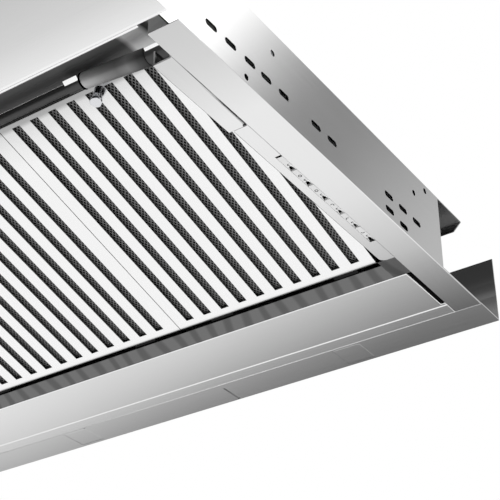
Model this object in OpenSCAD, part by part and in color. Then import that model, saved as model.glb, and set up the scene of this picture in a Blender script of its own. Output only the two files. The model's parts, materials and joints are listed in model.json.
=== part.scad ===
// Range hood insert: a steel frame that closes the underside of a cabinet, a shallow body above
// it, three tilted slotted filters, a strip of keys at the right and a twin-inlet blower on top.
// x runs across the hood, y towards the wall and z up. Zero is the middle of the underside.

/* [Frame] */
// Overall width of the frame
frame_w = 726.4; // [712:0.2:745]
// Overall depth of the frame
frame_d = 520; // [512:1:540]
// Thickness of the folded steel sheet
sheet = 1.2; // [1:0.1:1.4]
// Height of the folded lips that stiffen the frame
lip_h = 12; // [10:0.5:13]
// Depth of the front trim, which carries the lamps
front_trim_d = 63.5; // [60:0.5:66]
// Open gap between the front trim and the side trims
front_gap = 10.2; // [8:0.1:13]
// Width of each side trim
side_trim_w = 23.6; // [21:0.1:27]
// Depth of the bar behind the grease tray
bar_d = 14.4; // [12:0.1:18]
// Depth of the filler that reaches back to the wall
filler_d = 33.6; // [31:0.1:38]
// Height of the filler's upstand
upstand_h = 60; // [40:1:70]

/* [Body] */
// Height of the side walls above the underside
body_h = 78.7; // [77.8:0.1:90]
// How far the side trims stand out past the side walls
overhang = 7.2; // [5:0.1:9]
// Setback of the rear wall from the frame's rear edge
rear_setback = 84.5; // [80:0.5:88]
// Depth of the shelf behind the rear wall
shelf_d = 42.5; // [35:0.5:50]
// Drop of the shelf's rear lip
shelf_lip = 7; // [5:0.5:9]
// Radius of the round screw holes in the side walls
screw_hole_r = 2.5; // [2:0.1:3]
// Length of the slots in the side walls
wall_slot_l = 12.8; // [10:0.1:14]
// Width of those slots
wall_slot_w = 5; // [4:0.1:6]

/* [Filters] */
// Tilt of the filters, front edge up
filter_tilt = 15.4; // [14.8:0.1:15.6]
// Length of a filter along its slope
filter_len = 245.4; // [240:0.1:247]
// Width of the middle filter
mid_filter_w = 265; // [250:0.1:280]
// Gap between neighbouring filters
filter_seam = 0.6; // [0.4:0.1:1]
// Thickness of the filters' own sheet
filter_sheet = 0.8; // [0.6:0.1:1]
// Width of a filter slot
slot_w = 7.6; // [5:0.1:8.5]
// Distance from one slot to the next
slot_pitch = 17.8; // [15.5:0.1:20]
// Plain margin behind the slots
slot_rear_margin = 9.3; // [8:0.1:14]
// Plain margin in front of the slots
slot_front_margin = 5.3; // [4:0.1:7]
// Depth of the mesh behind the slotted face
mesh_recess = 2.8; // [2.4:0.1:3.2]
// Radius of a filter knob
knob_r = 4.5; // [4:0.1:5]
// How far a knob stands out of the filter
knob_h = 14; // [10:0.5:18]

/* [Tray and ledge] */
// Depth of the grease tray's opening
tray_d = 61.5; // [58:0.5:66]
// Height of the grease tray's walls
tray_h = 14; // [8:0.5:14.5]
// Gap at each end of the grease tray
tray_end_gap = 4.7; // [3:0.1:6]
// Depth of the sloping drip ledge
ledge_d = 12.8; // [11:0.1:15]
// Rise of the drip ledge
ledge_h = 6; // [5:0.1:6.5]

/* [Front rail] */
// Radius of the front rail
rail_r = 3.75; // [3.5:0.05:4.5]
// Height of the rail's axis above the underside
rail_z = 60; // [58:0.5:62]
// Radius of the rail's sleeves where they begin
sleeve_r = 6.3; // [5.9:0.1:6.7]

/* [Controls] */
// Width of the cover in front of the keys
strip_w = 15.4; // [14:0.1:17]
// Width of the plate round the keys
fascia_w = 11.9; // [11.4:0.1:13]
// Number of keys
key_count = 6; // [3:1:6]
// Distance from one key to the next
key_pitch = 21.9; // [20:0.1:23]
// Length of a key
key_l = 15; // [12:0.1:16]
// Width of a key
key_w = 4.5; // [4:0.1:5]
// Travel of a key
key_travel = 1.2; // [0.8:0.1:1.5]

/* [Blower] */
// Radius of the blower wheel
wheel_r = 68; // [64:1:72]
// Width of the blower wheel
wheel_w = 120; // [110:1:130]
// Number of blades on the blower wheel
blade_count = 30; // [20:1:36]
// Outside radius of the round duct spigot
spigot_r = 74.5; // [72:0.5:76]
// Height of the spigot above the blower case
spigot_h = 45; // [40:1:60]
// Radius of the motor
motor_r = 40; // [34:1:44]

/* [Lamps] */
// Radius of a lamp's lens
lens_r = 20; // [16:0.1:20.5]
// Distance of each lamp from the middle
lamp_x = 125; // [110:1:150]

/* [Hidden] */
$fn = 64;

clear = 0.3;            // gap beside a piece that moves or drops in
run = 0.05;             // radial clearance of a shaft or pin in its bore
over = 1;               // overrun of a cut past the sheet
steel = "#c9cacb";
pale = "#e6e7e8";
dark = "#4a4b4d";
black = "#222324";

// Places across the hood
edge_x = frame_w / 2;
trim_x = edge_x - side_trim_w;
wall_x = edge_x - overhang;
wall_in_x = wall_x - sheet;
strip_x = trim_x - strip_w;
fascia_x = trim_x - fascia_w;
strip_side_gap = 1.4;
filter_x = strip_x - strip_side_gap;
mid_x = mid_filter_w / 2;
end_filter_w = filter_x - mid_x - filter_seam;

// Places from front to back
front_y = -frame_d / 2;
front_in_y = front_y + front_trim_d;
side_front_y = front_in_y + front_gap;
rear_y = frame_d / 2;
bar_rear_y = rear_y - filler_d;
tray_rear_y = bar_rear_y - bar_d;
tray_front_y = tray_rear_y - tray_d;
ledge_front_y = tray_front_y - ledge_d;
ledge_gap = 11.1;
filter_y = ledge_front_y - ledge_gap;
filter_z = clear;
wall_front_y = front_y + overhang;
wall_rear_y = rear_y - rear_setback;
shelf_y = wall_rear_y + shelf_d;
top_z = body_h;

// The filters' depth, so that the fold behind each one lies just above the drip ledge
ledge_slope = atan(ledge_h / ledge_d);
ledge_top_y = ledge_front_y + sheet * sin(ledge_slope);
ledge_top_z = ledge_h + sheet * cos(ledge_slope);
hook_z = (ledge_top_z - filter_z) * cos(filter_tilt)
    + (ledge_top_y - filter_y) * sin(filter_tilt) + clear;
filter_h = hook_z + filter_sheet;
hook_l = (ledge_top_y - filter_y) / cos(filter_tilt) + filter_h * sin(filter_tilt);
hook_w = 22;
hook_place_share = 0.32;
filter_front_y = filter_y - filter_len * cos(filter_tilt);

// Front rail
rail_ahead = 10.9;
rail_y = filter_front_y - rail_ahead;
collar_rise = 1.35;
collar_r = rail_r + collar_rise;
collar_l = 14.5;
sleeve_l = 60;
sleeve_inset = 134.6;
sleeve_x = edge_x - sleeve_inset;
sleeve_flare = 0.7;
sleeve_end_r = sleeve_r + sleeve_flare;
sleeve_ahead = 1.4;
sleeve_drop = 7.3;
sleeve_end_y = rail_y - sleeve_ahead;
sleeve_end_z = rail_z - sleeve_drop;
rail_end_step = 0.4;
rail_end_r = sleeve_end_r - rail_end_step;
guide_start_z = lip_h;
guide_past = 4.9;
guide_rise = 8.5;
guide_end_y = rail_y + guide_past;
guide_end_z = rail_z + guide_rise;
guide_steps = 18;

module plate(x0, x1, y0, y1, z0, z1)
    translate([x0, y0, z0]) cube([x1 - x0, y1 - y0, z1 - z0]);

module along_x(length)
    rotate([90, 0, 90]) linear_extrude(height = length, center = true) children();

module both_sides() {
    children();
    mirror([1, 0, 0]) children();
}

module tube(outer, inner, length) difference() {
    cylinder(r = outer, h = length);
    translate([0, 0, -over]) cylinder(r = inner, h = length + 2 * over);
}

// Frame

lamp_y = (wall_front_y + front_in_y) / 2;
lens_gap = clear;

module front_trim() color(pale) difference() {
    union() {
        plate(-edge_x, edge_x, front_y, front_in_y, 0, sheet);
        plate(-edge_x, edge_x, front_y, front_y + sheet, 0, lip_h);
        plate(-wall_in_x, wall_in_x, front_in_y - sheet, front_in_y, 0, lip_h);
    }
    both_sides() translate([lamp_x, lamp_y, -over]) cylinder(r = lens_r + lens_gap, h = sheet + 2 * over);
}

module side_trim() {
    plate(trim_x, edge_x, side_front_y, bar_rear_y, 0, sheet);
    plate(trim_x, trim_x + sheet, side_front_y, bar_rear_y, 0, lip_h);
    plate(trim_x, wall_in_x, side_front_y, side_front_y + sheet, 0, lip_h);
}
module right_trim() color(pale) side_trim();
module left_trim() color(pale) mirror([1, 0, 0]) side_trim();

module cross_bar() color(pale) {
    plate(-trim_x, trim_x, tray_rear_y, bar_rear_y, 0, sheet);
    plate(-trim_x, trim_x, tray_rear_y, tray_rear_y + sheet, 0, lip_h);
    plate(-trim_x, trim_x, bar_rear_y - sheet, bar_rear_y, 0, lip_h);
}

// The filler's inlaid tabs and its narrow slots repeat at one pitch from the right end
filler_pitch = 306.5;
tab_inset = 130.4;
slit_inset = 262.8;
tab_w = 25.8;
tab_start = 2.6;
tab_l = filler_d - 2 * tab_start - sheet;
slit_w = 2;
slit_start = 7.2;
slit_end = 1.4;
relief_w = 1.6;
strap_margin = 4;

module at_filler_pitch(inset)
    for (x = [edge_x - inset : -filler_pitch : -edge_x + tab_w]) translate([x, bar_rear_y, 0]) children();

module rear_filler() color(pale) difference() {
    union() {
        plate(-edge_x, edge_x, bar_rear_y, rear_y, 0, sheet);
        plate(-edge_x, edge_x, rear_y - sheet, rear_y, 0, upstand_h);
    }
    at_filler_pitch(tab_inset) {
        plate(-tab_w / 2 - clear, tab_w / 2 + clear, tab_start - clear, tab_start + tab_l + clear, -over,
            sheet + over);
        for (side = [-1, 1]) translate([side * tab_w / 2, 0, 0])
            plate(-relief_w / 2, relief_w / 2, clear, tab_start, -over, sheet + over);
    }
    at_filler_pitch(slit_inset)
        plate(-slit_w / 2, slit_w / 2, slit_start, filler_d - slit_end, -over, sheet + over);
}

module filler_clips() color(pale) at_filler_pitch(tab_inset) {
    plate(-tab_w / 2, tab_w / 2, tab_start, tab_start + tab_l, 0, sheet);
    plate(-tab_w / 2 - strap_margin, tab_w / 2 + strap_margin, tab_start - clear,
        filler_d - sheet, sheet, 2 * sheet);
}

// Body

// Slots and holes in a side wall: shares of the frame's depth and of the body's height
slot_row_share = 0.398;
wall_slot_shares = [[-0.275, slot_row_share], [-0.2333, slot_row_share], [-0.1902, slot_row_share],
    [-0.1527, slot_row_share], [-0.1108, slot_row_share], [-0.0304, slot_row_share],
    [0.0115, slot_row_share], [0.1713, slot_row_share], [0.2135, slot_row_share],
    [0.2562, slot_row_share], [0.1713, 0.23], [0.2131, 0.197]];
wall_hole_shares = [[-0.1369, 0.751], [0.2546, 0.751], [-0.1981, 0.2033], [0.2937, 0.9212]];

module in_wall(shares)
    for (place = shares) translate([wall_in_x - over, place[0] * frame_d, place[1] * body_h])
        rotate([0, 90, 0]) children();

module side_wall() difference() {
    plate(wall_in_x, wall_x, wall_front_y, wall_rear_y, sheet, top_z);
    in_wall(wall_hole_shares) cylinder(r = screw_hole_r, h = sheet + 2 * over);
    in_wall(wall_slot_shares) {
        for (side = [-1, 1]) translate([0, side * (wall_slot_l - wall_slot_w) / 2, 0])
            cylinder(r = wall_slot_w / 2, h = sheet + 2 * over);
        translate([-wall_slot_w / 2, -(wall_slot_l - wall_slot_w) / 2, 0])
            cube([wall_slot_w, wall_slot_l - wall_slot_w, sheet + 2 * over]);
    }
}
module right_wall() color(steel) side_wall();
module left_wall() color(steel) mirror([1, 0, 0]) side_wall();

module front_wall() color(steel)
    plate(-wall_in_x, wall_in_x, wall_front_y, wall_front_y + sheet, sheet, top_z);

rear_wall_gap = 2;
rear_wall_z = tray_h + rear_wall_gap;
module rear_wall() color(steel)
    plate(-wall_in_x, wall_in_x, wall_rear_y - sheet, wall_rear_y, rear_wall_z, top_z);

shelf_chamfer = shelf_lip;
module rear_shelf() color(dark) {
    plate(-wall_x, wall_x, wall_rear_y, shelf_y, top_z - sheet, top_z);
    translate([0, shelf_y, top_z - sheet]) rotate([90, 0, 0]) linear_extrude(height = sheet) polygon([
        [-wall_x, 0], [-wall_x + shelf_chamfer, -shelf_lip], [wall_x - shelf_chamfer, -shelf_lip],
            [wall_x, 0]]);
}

// The guide curves up and back from the front trim to just above the rail
function guide_curve(inset) = [for (i = [0 : guide_steps])
    let (turn = 90 * i / guide_steps, run_y = guide_end_y - front_in_y, rise = guide_end_z - guide_start_z)
    [front_in_y - inset + (run_y + inset) * (1 - cos(turn)), guide_start_z + (rise + inset) * sin(turn)]];

module air_guide() color(dark) along_x(2 * wall_in_x) polygon(concat(guide_curve(sheet),
    [for (i = [guide_steps : -1 : 0]) guide_curve(0)[i]]));

// Blower case and what it holds

case_gap = 6;                       // between the scroll and the case round it
scroll_gap = 7;                     // between the wheel and the scroll at the tongue
scroll_growth = 30;                 // growth of the scroll's radius from tongue to outlet
tongue_angle = 65;
scroll_r = wheel_r + scroll_gap;
scroll_out_r = scroll_r + scroll_growth;
scroll_steps = 28;
cheek_gap = 6.8;
scroll_w = wheel_w + 2 * (cheek_gap + sheet);
bottom_r = scroll_r + scroll_growth * (270 - tongue_angle) / (360 - tongue_angle);
front_r = scroll_r + scroll_growth * (180 - tongue_angle) / (360 - tongue_angle);
wheel_z = top_z + case_gap + bottom_r;
case_top_z = wheel_z + scroll_r + 2 * case_gap;
spigot_off = (scroll_out_r + scroll_r * cos(tongue_angle)) / 2;
spigot_flange_w = 8;
case_d = front_r + case_gap + spigot_off + spigot_r + spigot_flange_w + 2 * sheet;
case_rear_room = 62.526;
case_rear_y = wall_rear_y - case_rear_room;
case_front_y = case_rear_y - case_d;
case_mid_y = (case_front_y + case_rear_y) / 2;
wheel_y = case_front_y + front_r + case_gap + sheet;
spigot_y = wheel_y + spigot_off;
case_side_room = 82;
case_x = scroll_w / 2 + case_side_room;
flange_w = 12;
screw_r = 2;
screw_head_r = 3.8;
screw_head_h = 2.4;
screw_l = 5;
recess_w = 0.9;
recess_l = 4.4;
recess_h = 1.2;
screw_inset_share = 0.8;
side_screw_share = 0.66;
flange_mid = flange_w / 2 + sheet / 2;

// Each flange screw: its place on the case's four flanges
case_screw_places = concat(
    [for (sx = [-1, 0, 1], y = [case_front_y - flange_mid,
        case_rear_y + flange_mid]) [sx * case_x * screw_inset_share, y]],
    [for (sy = [-1, 1], sx = [-1, 1]) [sx * (case_x + flange_mid),
        case_mid_y + sy * case_d / 2 * side_screw_share]]);

module at_case_screws() for (p = case_screw_places) translate([p[0], p[1], top_z]) children();

duct_x = case_x - flange_w;
duct_front_y = case_front_y + flange_w;
duct_rear_y = case_rear_y - flange_w;

module top_panel() color(steel) difference() {
    plate(-wall_in_x, wall_in_x, wall_front_y + sheet, wall_rear_y - sheet, top_z - sheet, top_z);
    plate(-duct_x, duct_x, duct_front_y, duct_rear_y, top_z - sheet - over, top_z + over);
    at_case_screws() translate([0, 0, -sheet - over]) cylinder(r = screw_r + run, h = sheet + 2 * over);
}

module case_screw_holes() at_case_screws() translate([0, 0, -over])
    cylinder(r = screw_r + run, h = sheet + 2 * over);

module blower_front() color(steel) difference() {
    union() {
        plate(-case_x, case_x, case_front_y, case_front_y + sheet, top_z, case_top_z);
        plate(-case_x, case_x, case_front_y - flange_w, case_front_y, top_z, top_z + sheet);
    }
    case_screw_holes();
}
module blower_rear() color(steel) difference() {
    union() {
        plate(-case_x, case_x, case_rear_y - sheet, case_rear_y, top_z, case_top_z);
        plate(-case_x, case_x, case_rear_y, case_rear_y + flange_w, top_z, top_z + sheet);
    }
    case_screw_holes();
}
module case_side() difference() {
    union() {
        plate(case_x - sheet, case_x, case_front_y + sheet, case_rear_y - sheet, top_z, case_top_z);
        plate(case_x, case_x + flange_w, case_front_y + sheet, case_rear_y - sheet, top_z, top_z + sheet);
    }
    case_screw_holes();
}
module blower_sides() color(steel) both_sides() case_side();

spigot_wall = 1;
spigot_in_r = spigot_r - spigot_wall;
module blower_top() color(steel) difference() {
    plate(-case_x + sheet, case_x - sheet, case_front_y + sheet, case_rear_y - sheet, case_top_z - sheet,
        case_top_z);
    translate([0, spigot_y, case_top_z - sheet - over]) cylinder(r = spigot_in_r, h = sheet + 2 * over);
}

module case_screws() color(pale) at_case_screws() {
    difference() {
        translate([0, 0, sheet]) cylinder(r = screw_head_r, h = screw_head_h);
        for (turn = [0, 90]) rotate([0, 0, turn])
            translate([-recess_l / 2, -recess_w / 2, sheet + screw_head_h - recess_h])
            cube([recess_l, recess_w, recess_h + over]);
    }
    translate([0, 0, sheet - screw_l]) cylinder(r = screw_r, h = screw_l + screw_head_h - recess_h);
}

function scroll_outline(inset) = let (tongue_x = (scroll_r - inset) * cos(tongue_angle)) concat(
    [for (i = [0 : scroll_steps]) let (turn = tongue_angle + (360 - tongue_angle) * i / scroll_steps,
        r = scroll_r + scroll_growth * i / scroll_steps - inset) [r * cos(turn), r * sin(turn)]],
    [[scroll_out_r - inset, case_top_z - sheet - wheel_z + (inset > 0 ? over : 0)],
     [tongue_x + 2 * inset * cos(tongue_angle) + (inset > 0 ? inset / 2 : 0),
         case_top_z - sheet - wheel_z + (inset > 0 ? over : 0)]]);

inlet_lap = 14;
inlet_r = wheel_r - inlet_lap;
module scroll_housing() color(steel) translate([0, wheel_y, wheel_z]) difference() {
    along_x(scroll_w) polygon(scroll_outline(0));
    along_x(scroll_w - 2 * sheet) polygon(scroll_outline(sheet));
    rotate([0, 90, 0]) cylinder(r = inlet_r, h = scroll_w + 2 * over, center = true);
}

ring_w = 9;
ring_h = 4;
ring_round_share = 0.75;
module inlet_rings() color(dark) translate([0, wheel_y, wheel_z]) both_sides()
    translate([scroll_w / 2, 0, 0])
    rotate([0, 90, 0]) rotate_extrude() translate([inlet_r - ring_w / 4, 0]) difference() {
        square([ring_w, ring_h]);
        translate([ring_w, ring_h]) circle(r = ring_h * ring_round_share);
    }

shaft_r = 4;
hub_r = 12;
hub_l = 15;
disc_x = 4;
disc_t = 1.5;
motor_l = scroll_w / 2 + ring_h;
bore_l = 32;
motor_ribs = 12;
module motor() color(dark) translate([-motor_l, wheel_y, wheel_z]) rotate([0, 90, 0]) difference() {
    union() {
        cylinder(r = motor_r, h = motor_l - disc_x / 2);
        for (i = [1 : motor_ribs]) rotate([0, 0, i * 360 / motor_ribs])
            translate([motor_r - sheet, -sheet, sheet])
            cube([2 * sheet, 2 * sheet, motor_l - 2 * disc_x]);
    }
    translate([0, 0, motor_l - bore_l]) cylinder(r = shaft_r + run, h = bore_l + over);
}

arm_w = 12;
arm_count = 3;
arm_angle = 30;
module motor_bracket() color(black) translate([-motor_l - sheet, wheel_y, wheel_z])
    for (i = [1 : arm_count]) rotate([i * 360 / arm_count + arm_angle, 0, 0])
        plate(-sheet, sheet, -arm_w / 2, inlet_r + ring_w / 2, -arm_w / 2, arm_w / 2);

blade_t = 0.8;
blade_l = 12;
blade_angle = 28;
end_ring_t = 2;
module blower_wheel() color(black) translate([0, wheel_y, wheel_z]) rotate([0, 90, 0]) {
    translate([0, 0, disc_x]) cylinder(r = wheel_r - blade_l / 2, h = disc_t);
    translate([0, 0, disc_x / 2]) cylinder(r = hub_r, h = hub_l);
    translate([0, 0, disc_x - bore_l + shaft_r]) cylinder(r = shaft_r, h = bore_l);
    for (z = [-wheel_w / 2, wheel_w / 2 - end_ring_t]) translate([0, 0, z])
        tube(wheel_r, wheel_r - blade_l - sheet, end_ring_t);
    for (i = [0 : blade_count - 1]) rotate([0, 0, i * 360 / blade_count])
        translate([wheel_r - blade_l, 0, end_ring_t / 2 - wheel_w / 2]) rotate([0, 0, blade_angle])
            cube([blade_l - sheet, blade_t, wheel_w - end_ring_t]);
}

// Duct spigot and its two backdraught flaps

pin_r = 2;
knuckle_r = 4;
knuckle_l = 14;
flap_t = 1;
flap_gap = 1;
flap_r = spigot_in_r - flap_gap;
stop_w = 3.5;
pin_rise = 14;
pin_z = case_top_z + pin_rise;
flap_z = pin_z - knuckle_r;
module duct_spigot() color(steel) translate([0, spigot_y, case_top_z]) difference() {
    union() {
        tube(spigot_r, spigot_in_r, spigot_h);
        tube(spigot_r + spigot_flange_w - sheet, spigot_in_r, sheet);
        translate([0, 0, flap_z - case_top_z - clear - sheet]) difference() {
            cylinder(r = spigot_in_r + spigot_wall / 2, h = sheet);
            translate([0, 0, -over]) cylinder(r = spigot_in_r - stop_w, h = sheet + 2 * over);
            translate([-spigot_r, -knuckle_r - clear, -over])
                cube([2 * spigot_r, 2 * (knuckle_r + clear), sheet + 2 * over]);
        }
    }
    translate([0, 0, pin_z - case_top_z]) rotate([0, 90, 0])
        cylinder(r = pin_r, h = 2 * spigot_r + 2 * over, center = true);
}

module damper_pin() color(pale) translate([0, spigot_y, pin_z]) rotate([0, 90, 0])
    cylinder(r = pin_r, h = 2 * spigot_r, center = true);

knuckle_offset_shares = [-0.62, 0.22];
module flap() difference() {
    union() {
        intersection() {
            translate([0, 0, flap_z]) cylinder(r = flap_r, h = flap_t);
            translate([-spigot_r, knuckle_r + clear, flap_z - over])
                cube([2 * spigot_r, spigot_r, flap_t + 2 * over]);
        }
        for (share = knuckle_offset_shares) translate([share * spigot_in_r, 0, pin_z]) {
            rotate([0, 90, 0]) cylinder(r = knuckle_r, h = knuckle_l);
            translate([0, 0, -knuckle_r]) cube([knuckle_l, knuckle_r + over, flap_t]);
        }
    }
    translate([0, 0, pin_z]) rotate([0, 90, 0]) cylinder(r = pin_r + run, h = 2 * spigot_r, center = true);
}
module damper_rear() color("silver") translate([0, spigot_y, 0]) flap();
module damper_front() color("silver") translate([0, spigot_y, 0]) rotate([0, 0, 180]) flap();

// Filters

side_margin = 8.9;
slot_front = filter_len - slot_front_margin;

module tilted() translate([0, filter_y, filter_z]) rotate([-filter_tilt, 0, 0]) children();

function slots_in(w) = floor((w - 2 * side_margin - slot_w) / slot_pitch) + 1;

// Below, a filter lies flat with its rear edge on y = 0 and its front edge at -filter_len
knob_back = 7.4;
knob_y = -filter_len + knob_back;
knob_shaft_r = 3;
latch_w = 6;
latch_t = 1.2;
latch_z = filter_sheet + clear;
latch_l = knob_back - 2 * clear;
latch_notch = 2 * sqrt(latch_l * latch_l + latch_w * latch_w / 4) + 2 * clear;

module filter_face(w, hooks) difference() {
    union() {
        plate(-w / 2, w / 2, -filter_len, 0, 0, filter_h);
        for (share = hooks) translate([share * w - hook_w / 2, -over, hook_z])
            cube([hook_w, hook_l + over, filter_sheet]);
    }
    plate(-w / 2 + filter_sheet, w / 2 - filter_sheet, -filter_len + filter_sheet, -filter_sheet,
        filter_sheet, filter_h + over);
    for (i = [0 : slots_in(w) - 1]) translate([(i - (slots_in(w) - 1) / 2) * slot_pitch, 0, 0])
        plate(-slot_w / 2, slot_w / 2, -slot_front, -slot_rear_margin, -over, filter_sheet + over);
    translate([0, knob_y, -over]) cylinder(r = knob_shaft_r + run, h = filter_sheet + 2 * over);
    translate([-latch_notch / 2, -filter_len - over, filter_sheet])
        cube([latch_notch, filter_sheet + 2 * over, latch_t + 2 * clear]);
}

mesh_t = filter_h - mesh_recess - 2 * filter_sheet;
module filter_mesh(w) plate(-w / 2 + filter_sheet, w / 2 - filter_sheet, -filter_len + filter_sheet,
    -filter_sheet,
    mesh_recess, mesh_recess + mesh_t);

back_bar = 9;
back_cells_x = 4;
back_cells_y = 4;
module filter_back(w) difference() {
    plate(-w / 2 + filter_sheet, w / 2 - filter_sheet, -filter_len + filter_sheet, -filter_sheet,
        mesh_recess + mesh_t, filter_h);
    let (cell_x = (w - 2 * filter_sheet - back_bar) / back_cells_x,
        cell_y = (filter_len - 2 * filter_sheet - back_bar) / back_cells_y)
        for (i = [0 : back_cells_x - 1], j = [0 : back_cells_y - 1])
            translate([-w / 2 + filter_sheet + back_bar + i * cell_x,
                -filter_len + filter_sheet + back_bar + j * cell_y, 0])
                plate(0, cell_x - back_bar, 0, cell_y - back_bar, mesh_recess, filter_h + over);
}

neck_share = 0.8;
neck_r = knob_r * neck_share;
knob_face = 2.2;
knob_foot = 3;
module filter_knob() translate([0, knob_y, 0]) {
    translate([0, 0, -knob_h]) rotate_extrude() polygon([[0, 0], [knob_r - clear, 0], [knob_r, clear],
        [knob_r, knob_face], [neck_r, knob_h / 2], [knob_r, knob_h - clear], [0, knob_h - clear]]);
    translate([0, 0, -knob_foot]) cylinder(r = knob_shaft_r, h = knob_foot + latch_z + latch_t);
    translate([-latch_w / 2, -latch_l, latch_z]) cube([latch_w, latch_l, latch_t]);
}

hooks = [-hook_place_share, hook_place_share];
end_mid_x = mid_x + filter_seam + end_filter_w / 2;
module at_end() tilted() translate([end_mid_x, 0, 0]) children();
module at_middle() tilted() children();

module right_filter_face() color(pale) at_end() filter_face(end_filter_w, hooks);
module right_filter_mesh() color(dark) at_end() filter_mesh(end_filter_w);
module right_filter_back() color(steel) at_end() filter_back(end_filter_w);
module right_filter_knob() color(pale) at_end() filter_knob();
module middle_filter_face() color(pale) at_middle() filter_face(mid_filter_w, hooks);
module middle_filter_mesh() color(dark) at_middle() filter_mesh(mid_filter_w);
module middle_filter_back() color(steel) at_middle() filter_back(mid_filter_w);
module middle_filter_knob() color(pale) at_middle() filter_knob();
module left_filter_face() color(pale) mirror([1, 0, 0]) at_end() filter_face(end_filter_w, hooks);
module left_filter_mesh() color(dark) mirror([1, 0, 0]) at_end() filter_mesh(end_filter_w);
module left_filter_back() color(steel) mirror([1, 0, 0]) at_end() filter_back(end_filter_w);
module left_filter_knob() color(pale) mirror([1, 0, 0]) at_end() filter_knob();

// Drip ledge and grease tray

module drip_ledge() color(dark) {
    along_x(2 * trim_x) polygon([[ledge_front_y, ledge_h], [tray_front_y, 0], [tray_front_y, lip_h],
        [tray_front_y - sheet, lip_h], [tray_front_y - sheet, 2 * sheet], [ledge_top_y, ledge_top_z]]);
    both_sides() plate(strip_x, trim_x, strip_rear_y + clear, tray_front_y, 0, sheet);
}

tray_sheet = 1;
tray_inset = 4;
tray_ear = 3.2;
tray_x = trim_x - tray_end_gap;
tray_y0 = tray_front_y + clear;
tray_y1 = tray_rear_y - clear;
module grease_tray() color(pale) {
    plate(-tray_x, tray_x, tray_y0, tray_y1, 0, tray_sheet);
    plate(-trim_x + clear, trim_x - clear, tray_y1 - tray_ear, tray_y1, 0, tray_sheet);
    difference() {
        plate(-tray_x + tray_inset, tray_x - tray_inset, tray_y0 + tray_inset, tray_y1 - tray_inset, 0,
            tray_h);
        plate(-tray_x + tray_inset + tray_sheet, tray_x - tray_inset - tray_sheet,
            tray_y0 + tray_inset + tray_sheet, tray_y1 - tray_inset - tray_sheet, tray_sheet,
                tray_h + over);
    }
}

// Front rail

module front_rail() color(dark) translate([0, rail_y, rail_z]) rotate([0, 90, 0])
    cylinder(r = rail_r, h = 2 * (sleeve_x - collar_l), center = true);

module rail_collars() color(dark) both_sides() translate([sleeve_x - collar_l, rail_y, rail_z])
    rotate([0, 90, 0])
    cylinder(r = collar_r, h = collar_l);

module rail_sleeves() color(dark) both_sides() hull() {
    translate([sleeve_x, rail_y, rail_z]) rotate([0, 90, 0]) cylinder(r = sleeve_r, h = clear, $fn = 32);
    translate([sleeve_x + sleeve_l - clear, sleeve_end_y, sleeve_end_z]) rotate([0, 90, 0])
        cylinder(r = sleeve_end_r, h = clear, $fn = 32);
}

module rail_ends() color(dark) both_sides() translate([sleeve_x + sleeve_l, sleeve_end_y, sleeve_end_z])
    rotate([0, 90, 0]) cylinder(r = rail_end_r, h = wall_in_x - sleeve_x - sleeve_l);

// Controls

cover_start = 25.3;
cover_front_y = side_front_y + cover_start;
strip_rear_gap = 14;
strip_rear_y = ledge_front_y - strip_rear_gap;
cover_gap = sheet;
corner_r = 5;
window_margin = 4;
key_row_l = (key_count - 1) * key_pitch + key_l;
// The length that the row of keys leaves free is shared out in front of it and behind it
strip_spare = strip_rear_y - cover_front_y - key_row_l;
cover_share = 0.5243;
behind_keys_share = 0.2306;
seam_y = cover_front_y + cover_share * strip_spare;
seam_back = strip_rear_y - seam_y;
key_row_y = strip_rear_y - behind_keys_share * strip_spare - key_row_l / 2;
first_key_cut = 3;
window_front_gap = 2;
window_y0 = key_row_y - key_row_l / 2 + first_key_cut - window_front_gap;
window_y1 = key_row_y + key_row_l / 2 + 2 * window_margin;
window_x = trim_x - key_w - 2 * clear;

module cover_strip(y0, y1, gap) {
    plate(strip_x, trim_x - gap, y0, y1, 0, sheet);
    plate(strip_x, strip_x + sheet, y0, y1, 0, lip_h);
    plate(trim_x - gap - sheet, trim_x - gap, y0, y1, 0, lip_h);
    plate(trim_x - gap - sheet, trim_x, y0, y1, lip_h - sheet, lip_h);
}

notch_r = 2.6;
module control_cover() color(pale) difference() {
    cover_strip(cover_front_y, seam_y - clear, cover_gap);
    translate([trim_x - cover_gap, seam_y - clear, -over]) cylinder(r = notch_r, h = sheet + 2 * over);
}

module left_cover() color(pale) mirror([1, 0, 0]) cover_strip(cover_front_y, strip_rear_y, clear);

module control_fascia() color(pale) {
    difference() {
        linear_extrude(height = sheet) {
            translate([fascia_x, seam_y]) square([fascia_w - clear, seam_back - corner_r]);
            translate([fascia_x + corner_r, seam_y]) square([fascia_w - clear - corner_r, seam_back]);
            translate([fascia_x + corner_r, strip_rear_y - corner_r]) circle(r = corner_r);
        }
        plate(window_x, trim_x, window_y0, window_y1, -over, sheet + over);
    }
    plate(fascia_x, fascia_x + sheet, seam_y, strip_rear_y - corner_r, 0, lip_h);
    for (span = [[seam_y, window_y0 - over], [window_y1 + over, strip_rear_y - corner_r]])
        plate(trim_x - 2 * sheet, trim_x, span[0], span[1], lip_h - sheet, lip_h);
    for (span = [[seam_y, window_y0 - over], [window_y1 + over, strip_rear_y - corner_r]])
        plate(trim_x - clear - sheet, trim_x - clear, span[0], span[1], 0, lip_h);
}

key_t = sheet;
key_flange = 1;
key_lap = 2.6;
key_stem = 2.4;
stem_rise = 3.5;
stem_top_z = key_t + key_flange + stem_rise;
housing_x0 = fascia_x + sheet + clear;
housing_x1 = trim_x - clear;
housing_rise = 2.2;
housing_h = lip_h + housing_rise;
housing_low_z = key_t + key_flange + key_travel + 2 * clear;
board_z = stem_top_z + key_travel + clear + sheet;
board_t = 1.6;
switch_r = 2;
post_r = 1.8;

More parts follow.
